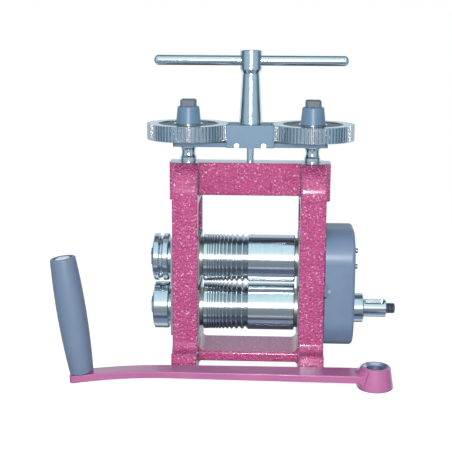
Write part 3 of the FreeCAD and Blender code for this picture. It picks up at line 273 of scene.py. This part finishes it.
def dark_metal(name, tint, rough):
    """Blackened steel, a little blotched."""
    made, tree, shader, coords = material(name)
    blotch = noise(tree, coords, 240, 3)
    base = blend(tree, spread(tree, blotch, 0.3, 0.7), [c * 0.7 for c in tint], tint)
    tree.links.new(base, shader.inputs["Base Color"])
    uneven = spread(tree, blotch, 0.3, 0.7, rough - 0.06, rough + 0.06)
    plain(tree, shader, metal=0.9, rough=uneven)
    bump(tree, shader, noise(tree, coords, 900, 2), 0.0001, 0.4)
    return made


def bearing_bronze():
    """Dull bearing bronze under a film of oil."""
    made, tree, shader, coords = material("bearing_bronze")
    film = noise(tree, coords, 120, 3)
    base = blend(tree, spread(tree, film, 0.3, 0.7), (0.33, 0.29, 0.25), (0.50, 0.44, 0.37))
    tree.links.new(base, shader.inputs["Base Color"])
    plain(tree, shader, metal=1.0, rough=spread(tree, film, 0.3, 0.7, 0.28, 0.42))
    bump(tree, shader, noise(tree, coords, 800, 2), 0.00006, 0.4)
    return made


def grip_plastic():
    """Moulded plastic with a fine grain and the light scuffs of use."""
    made, tree, shader, coords = material("grip_plastic")
    grain = noise(tree, coords, 1100, 2)
    drift = spread(tree, noise(tree, coords, 30, 2), 0.3, 0.7)
    along = noise(tree, scaled(tree, coords, (260, 260, 40)), 1.0, 4, 0.7)
    scuffs = spread(tree, along, 0.62, 0.8, 0.0, 0.3)
    base = blend(tree, drift, (0.150, 0.208, 0.305), (0.178, 0.240, 0.345))
    worn = blend(tree, scuffs, base, (0.36, 0.42, 0.50))
    tree.links.new(worn, shader.inputs["Base Color"])
    plain(tree, shader, rough=spread(tree, grain, 0.3, 0.7, 0.40, 0.48), specular=0.55)
    bump(tree, shader, grain, 0.00008, 0.5)
    return made


# One look a row: name, colours, roughness and what the maker above takes after it

frame_paint = hammered_paint()
crank_paint = smooth_paint(
    "crank_magenta", (0.46, 0.125, 0.30), (0.53, 0.155, 0.35), 0.42, 0.9, 0.2, 0.00012
)
grey_paint = smooth_paint(
    "blue_grey", (0.112, 0.212, 0.315), (0.132, 0.242, 0.350), 0.46, 0.2, 0.3, 0.00012
)
cover_paint = smooth_paint(
    "cover_blue_grey", (0.140, 0.208, 0.318), (0.165, 0.240, 0.350), 0.42, 0.3, 0.28, 0.0001
)
bolt_steel = smooth_paint(
    "bolt_black", (0.085, 0.115, 0.150), (0.110, 0.140, 0.175), 0.5, 0.1, 0.3, 0.0001
)
roll_steel = ground_steel("roll_steel", (0.80, 0.85, 0.88), 0.13, AROUND_X, 0.00001)
groove_steel = ground_steel("groove_steel", (0.56, 0.60, 0.63), 0.24, AROUND_X, 0.00001)
ring_steel = ground_steel("ring_steel", (0.74, 0.80, 0.84), 0.16, AROUND_X, 0.00001)
upright_steel = ground_steel("upright_steel", (0.80, 0.86, 0.89), 0.16, AROUND_Z, 0.00016)
bar_steel = ground_steel("bar_steel", (0.80, 0.87, 0.90), 0.17, AROUND_X, 0.00001)
block_steel = ground_steel("block_steel", (0.58, 0.63, 0.67), 0.3, ALL_WAYS, 0.00002)
gear_steel = ground_steel("gear_steel", (0.90, 0.95, 0.96), 0.2, ALL_WAYS, 0.00002)
tooth_steel = ground_steel("tooth_steel", (0.70, 0.73, 0.77), 0.17, AROUND_Z, 0.0002)
machined_top = ground_steel("machined_top", (0.88, 0.92, 0.94), 0.3, ACROSS_Y, 0.00003)
spring_wire = ground_steel("spring_wire", (0.50, 0.53, 0.56), 0.25, ALL_WAYS, 0.00001)
small_steel = ground_steel("small_steel", (0.90, 0.92, 0.94), 0.28, ALL_WAYS, 0.00001)
bore_steel = ground_steel("bore_steel", (0.66, 0.66, 0.84), 0.34, AROUND_Z, 0.00004)
web_steel = cast_web()
stud_steel = threaded_steel()
black_steel = dark_metal("black_steel", (0.12, 0.145, 0.17), 0.36)
screw_steel = dark_metal("cover_screw_steel", (0.30, 0.33, 0.37), 0.32)
bronze = bearing_bronze()
plastic = grip_plastic()

# Each piece's looks; the faces sorted below take the second and the third
LOOKS = {
    "frame_casting": [frame_paint, machined_top, grey_paint],
    "lower_roll": [roll_steel, stud_steel, groove_steel],
    "upper_roll": [roll_steel, roll_steel, groove_steel],
    "shaft_collar": [ring_steel],
    "gear_cover": [cover_paint],
    "cover_rim_screw": [small_steel],
    "cover_screws": [screw_steel],
    "bridge_bar": [grey_paint],
    "pinion_block": [grey_paint],
    "block_screws": [small_steel],
    "idler_pins": [small_steel],
    "handle_stem": [upright_steel],
    "handle_crossbar": [bar_steel],
    "handle_pinion": [upright_steel],
    "handle_pin": [upright_steel],
    "crank_arm": [crank_paint],
    "crank_boss": [crank_paint, bore_steel],
    "grip_spindle": [small_steel],
    "grip": [plastic],
    "grip_washer": [small_steel],
    "upper_gear_nut": [black_steel],
}
for side in ("left", "right"):
    LOOKS[side + "_main_screw"] = [upright_steel]
    LOOKS[side + "_adjusting_gear"] = [gear_steel, web_steel, tooth_steel]
    LOOKS[side + "_gear_hub"] = [grey_paint]
    LOOKS[side + "_gear_washer"] = [small_steel]
    LOOKS[side + "_clamp_bolt"] = [bolt_steel]
    LOOKS[side + "_idler"] = [tooth_steel]
    LOOKS[side + "_thrust_pad"] = [black_steel]
    LOOKS[side + "_lift_springs"] = [spring_wire]
    for level in ("lower", "upper"):
        LOOKS[level + "_" + side + "_block"] = [block_steel]
        LOOKS[level + "_" + side + "_bush"] = [bronze]
for level in ("lower", "upper"):
    LOOKS[level + "_side_ring"] = [ring_steel]
    LOOKS[level + "_ring_spacer"] = [block_steel]
    LOOKS[level + "_ring_nut"] = [small_steel]
    LOOKS[level + "_ring_key"] = [black_steel]
    LOOKS[level + "_gear_key"] = [black_steel]
    LOOKS[level + "_drive_gear"] = [tooth_steel]

for name, piece in nodes.items():
    piece.data.materials.clear()
    for look in LOOKS[name]:
        piece.data.materials.append(look)
    for face in piece.data.polygons:
        face.material_index = 0

# The frame's machined top, and the grey lug that the cover's rim screw enters
for face in nodes["frame_casting"].data.polygons:
    if face.center.z > FRAME_TOP - TOP_ROOM and face.normal.z > FACING:
        face.material_index = 1
    elif face.center.x > LUG_X and face.center.y < LUG_Y and face.center.z > LOWER_Z:
        face.material_index = 2

# The bare bore of the crank's boss
for face in nodes["crank_boss"].data.polygons:
    reach = math.hypot(face.center.x - CRANK_X, face.center.y - CRANK_Y)
    if reach < CRANK_MOUTH_R and face.center.z < CRANK_TOP:
        face.material_index = 1

# The gears' recessed webs and their teeth
for side, sign in (("left", -1), ("right", 1)):
    for face in nodes[side + "_adjusting_gear"].data.polygons:
        reach = math.hypot(face.center.x - sign * SCREW_X, face.center.y)
        level_face = abs(face.normal.z) > FACING
        sunk = face.center.z < GEAR_TOP - WEB_DEPTH / 2
        if WEB_IN_R < reach < WEB_OUT_R and sunk and level_face:
            face.material_index = 1
        elif reach > GEAR_ROOT_R - TOOTH_ROOM and abs(face.normal.z) < TOOTH_STEEP:
            face.material_index = 2

# The drive shaft's threaded stud, and the flanks of the rolls' wire grooves
for level in ("lower", "upper"):
    for face in nodes[level + "_roll"].data.polygons:
        lean = abs(face.normal.x)
        if face.center.x > STUD_X and lean < FACING:
            face.material_index = 1
        elif abs(face.center.x) < GROOVES_X and FLANK_LEAN < lean < FACING:
            face.material_index = 2


# Floor, world and lamps

SKY_LEVEL = (0.46, 0.48, 0.52)
SKY_TOP = (0.32, 0.34, 0.42)
TENT_BACK = (0.57, 0.69, 0.75)
TENT_FRONT = (0.92, 1.05, 1.08)
TENT_MID = (0.72, 0.94, 1.03)
TENT_HIGH = (0.55, 0.81, 0.97)
GAP_HIGH = (0.12, 0.14, 0.19)
GAP_FRONT = (0.24, 0.28, 0.31)
BENCH_EDGE = (0.53, 0.64, 0.73)
BENCH_DARK = (0.11, 0.13, 0.22)
BENCH_NEAR = (0.26, 0.32, 0.44)
BENCH_LIGHT = (0.70, 0.78, 0.87)
BENCH_BACK = (0.14, 0.17, 0.20)
SIDE_FRONT = (0.46, 0.62, 0.74)
SIDE_NEAR = (0.38, 0.54, 0.65)
SIDE_GAP = (0.11, 0.20, 0.26)
SIDE_TENT = (0.85, 0.92, 0.95)
OVERHEAD = [
    (-180, TENT_BACK),
    (-165, TENT_BACK),
    (-158, BENCH_BACK),
    (-118, BENCH_BACK),
    (-112, BENCH_LIGHT),
    (-94, BENCH_LIGHT),
    (-86, BENCH_NEAR),
    (-60, BENCH_NEAR),
    (-56, BENCH_DARK),
    (-43, BENCH_DARK),
    (-39, BENCH_EDGE),
    (-35, BENCH_EDGE),
    (-31, GAP_FRONT),
    (3, GAP_FRONT),
    (9, TENT_FRONT),
    (22, TENT_FRONT),
    (60, TENT_MID),
    (84, TENT_HIGH),
    (91, GAP_HIGH),
    (129, GAP_HIGH),
    (136, TENT_BACK),
    (180, TENT_BACK),
]
SIDEWAYS = [
    (0, SIDE_FRONT),
    (68, SIDE_NEAR),
    (80, SIDE_GAP),
    (115, SIDE_GAP),
    (125, SIDE_TENT),
    (180, SIDE_TENT),
]


def ramp(tree, angle, stops, lowest):
    """Colours at bearings in degrees, from lowest to 180."""
    made = tree.nodes.new("ShaderNodeValToRGB")
    share = spread(tree, angle, math.radians(lowest), math.pi)
    tree.links.new(share, made.inputs["Fac"])
    bar = made.color_ramp
    while len(bar.elements) < len(stops):
        bar.elements.new(0.5)
    for element, (degrees, colour) in zip(bar.elements, stops):
        element.position = (degrees - lowest) / (180 - lowest)
        element.color = (*colour, 1.0)
    return made.outputs["Color"]


def studio_world():
    """White behind the mill. Polished steel sees a light tent with dark gaps: over level
    cylinders the gaps follow the rise of the reflection, over upright ones its bearing.
    Matt surfaces get an even, slightly cool light, weaker from straight above."""
    world = bpy.data.worlds.new("studio")
    bpy.context.scene.world = world
    world.use_nodes = True
    tree = world.node_tree
    background = tree.nodes["Background"]
    path = tree.nodes.new("ShaderNodeLightPath")
    split = tree.nodes.new("ShaderNodeSeparateXYZ")
    tree.links.new(tree.nodes.new("ShaderNodeTexCoord").outputs["Generated"], split.inputs[0])
    front = math_node(tree, "MULTIPLY", split.outputs["Y"], -1.0)
    rise = math_node(tree, "ARCTAN2", split.outputs["Z"], front)
    turn = math_node(tree, "ARCTAN2", split.outputs["X"], front)
    over = ramp(tree, rise, OVERHEAD, -180)
    side = ramp(tree, math_node(tree, "ABSOLUTE", turn), SIDEWAYS, 0)
    aside = spread(tree, math_node(tree, "ABSOLUTE", split.outputs["X"]), 0.10, 0.24)
    height = math_node(tree, "ABSOLUTE", split.outputs["Z"])
    low_down = spread(tree, height, 0.5, 0.8, 1.0, 0.0)
    mirrored = blend(tree, math_node(tree, "MULTIPLY", aside, low_down), over, side)
    soft = blend(tree, spread(tree, split.outputs["Z"], 0.1, 1.0), SKY_LEVEL, SKY_TOP)
    lit = blend(tree, path.outputs["Is Glossy Ray"], soft, mirrored)
    through = path.outputs["Is Transmission Ray"]
    seen = math_node(tree, "MAXIMUM", path.outputs["Is Camera Ray"], through)
    tree.links.new(blend(tree, seen, lit, (1.0, 1.0, 1.0)), background.inputs["Color"])
    background.inputs["Strength"].default_value = 1.0


FLOOR_SIDE = 0.75
FLOOR_FRONT = -0.62
FLOOR_BACK = 0.75
FLOOR_Z = -0.0002
FLOOR_COLOUR = (0.42, 0.44, 0.46)
FLOOR_GLOW = 0.87


def floor():
    """A finite pale floor that stays white round the mill and takes its soft shadow."""
    mesh = bpy.data.meshes.new("floor")
    corners = [
        (-FLOOR_SIDE, FLOOR_FRONT, FLOOR_Z),
        (FLOOR_SIDE, FLOOR_FRONT, FLOOR_Z),
        (FLOOR_SIDE, FLOOR_BACK, FLOOR_Z),
        (-FLOOR_SIDE, FLOOR_BACK, FLOOR_Z),
    ]
    mesh.from_pydata(corners, [], [(0, 1, 2, 3)])
    ground = bpy.data.objects.new("floor", mesh)
    bpy.context.scene.collection.objects.link(ground)
    made = bpy.data.materials.new("pale_floor")
    made.use_nodes = True
    tree = made.node_tree
    shader = tree.nodes["Principled BSDF"]
    shader.inputs["Base Color"].default_value = (*FLOOR_COLOUR, 1)
    shader.inputs["Roughness"].default_value = 0.9
    shader.inputs["Emission Color"].default_value = (1, 1, 1, 1)
    path = tree.nodes.new("ShaderNodeLightPath")
    glow = math_node(tree, "MULTIPLY", path.outputs["Is Camera Ray"], FLOOR_GLOW)
    tree.links.new(glow, shader.inputs["Emission Strength"])
    mesh.materials.append(made)
    ground.visible_glossy = False


def lamp(name, place, target, size, power, colour, glossy):
    """A rectangular lamp aimed at the target; glossy says whether steel mirrors it."""
    light = bpy.data.lights.new(name, "AREA")
    light.shape = "RECTANGLE"
    light.size, light.size_y = size
    light.energy = power
    light.color = colour
    body = bpy.data.objects.new(name, light)
    bpy.context.scene.collection.objects.link(body)
    body.location = place
    aim = Vector(target) - Vector(place)
    body.rotation_euler = aim.to_track_quat("-Z", "Y").to_euler()
    body.visible_glossy = glossy
    body.visible_camera = False


CAMERA_PLACE = (0.0203, -1.0527, 0.3680)
CAMERA_YAW = 2.46
CAMERA_PITCH = 11.72
CAMERA_ROLL = 0.29
CAMERA_LENS = 81.08
CAMERA_SENSOR = 36


def photo_camera():
    """The photograph's place and angle: a little right of centre, looking 12 degrees down."""
    yaw = math.radians(CAMERA_YAW)
    pitch = math.radians(CAMERA_PITCH)
    roll = math.radians(CAMERA_ROLL)
    level = Vector((-math.sin(yaw), math.cos(yaw), 0))
    ahead = level * math.cos(pitch) - Vector((0, 0, math.sin(pitch)))
    right = Vector((math.cos(yaw), math.sin(yaw), 0))
    up = right.cross(ahead)
    rolled_right = right * math.cos(roll) + up * math.sin(roll)
    rolled_up = up * math.cos(roll) - right * math.sin(roll)
    data = bpy.data.cameras.new("camera")
    data.lens = CAMERA_LENS
    data.sensor_width = CAMERA_SENSOR
    body = bpy.data.objects.new("camera", data)
    bpy.context.scene.collection.objects.link(body)
    turn = Matrix((rolled_right, rolled_up, -ahead)).transposed().to_4x4()
    body.matrix_world = Matrix.Translation(CAMERA_PLACE) @ turn
    bpy.context.scene.camera = body


studio_world()
floor()
lamp(
    "soft_key",
    place=(-0.45, -1.35, 1.25),
    target=(0, 0, 0.12),
    size=(1.3, 1.0),
    power=7,
    colour=(1.0, 0.99, 0.97),
    glossy=False,
)
lamp(
    "camera_lamp",
    place=(0.02, -1.12, 0.42),
    target=(0, 0, 0.14),
    size=(0.12, 0.17),
    power=8.5,
    colour=(1, 0.99, 0.98),
    glossy=True,
)
photo_camera()
bpy.context.scene.view_settings.view_transform = "Standard"
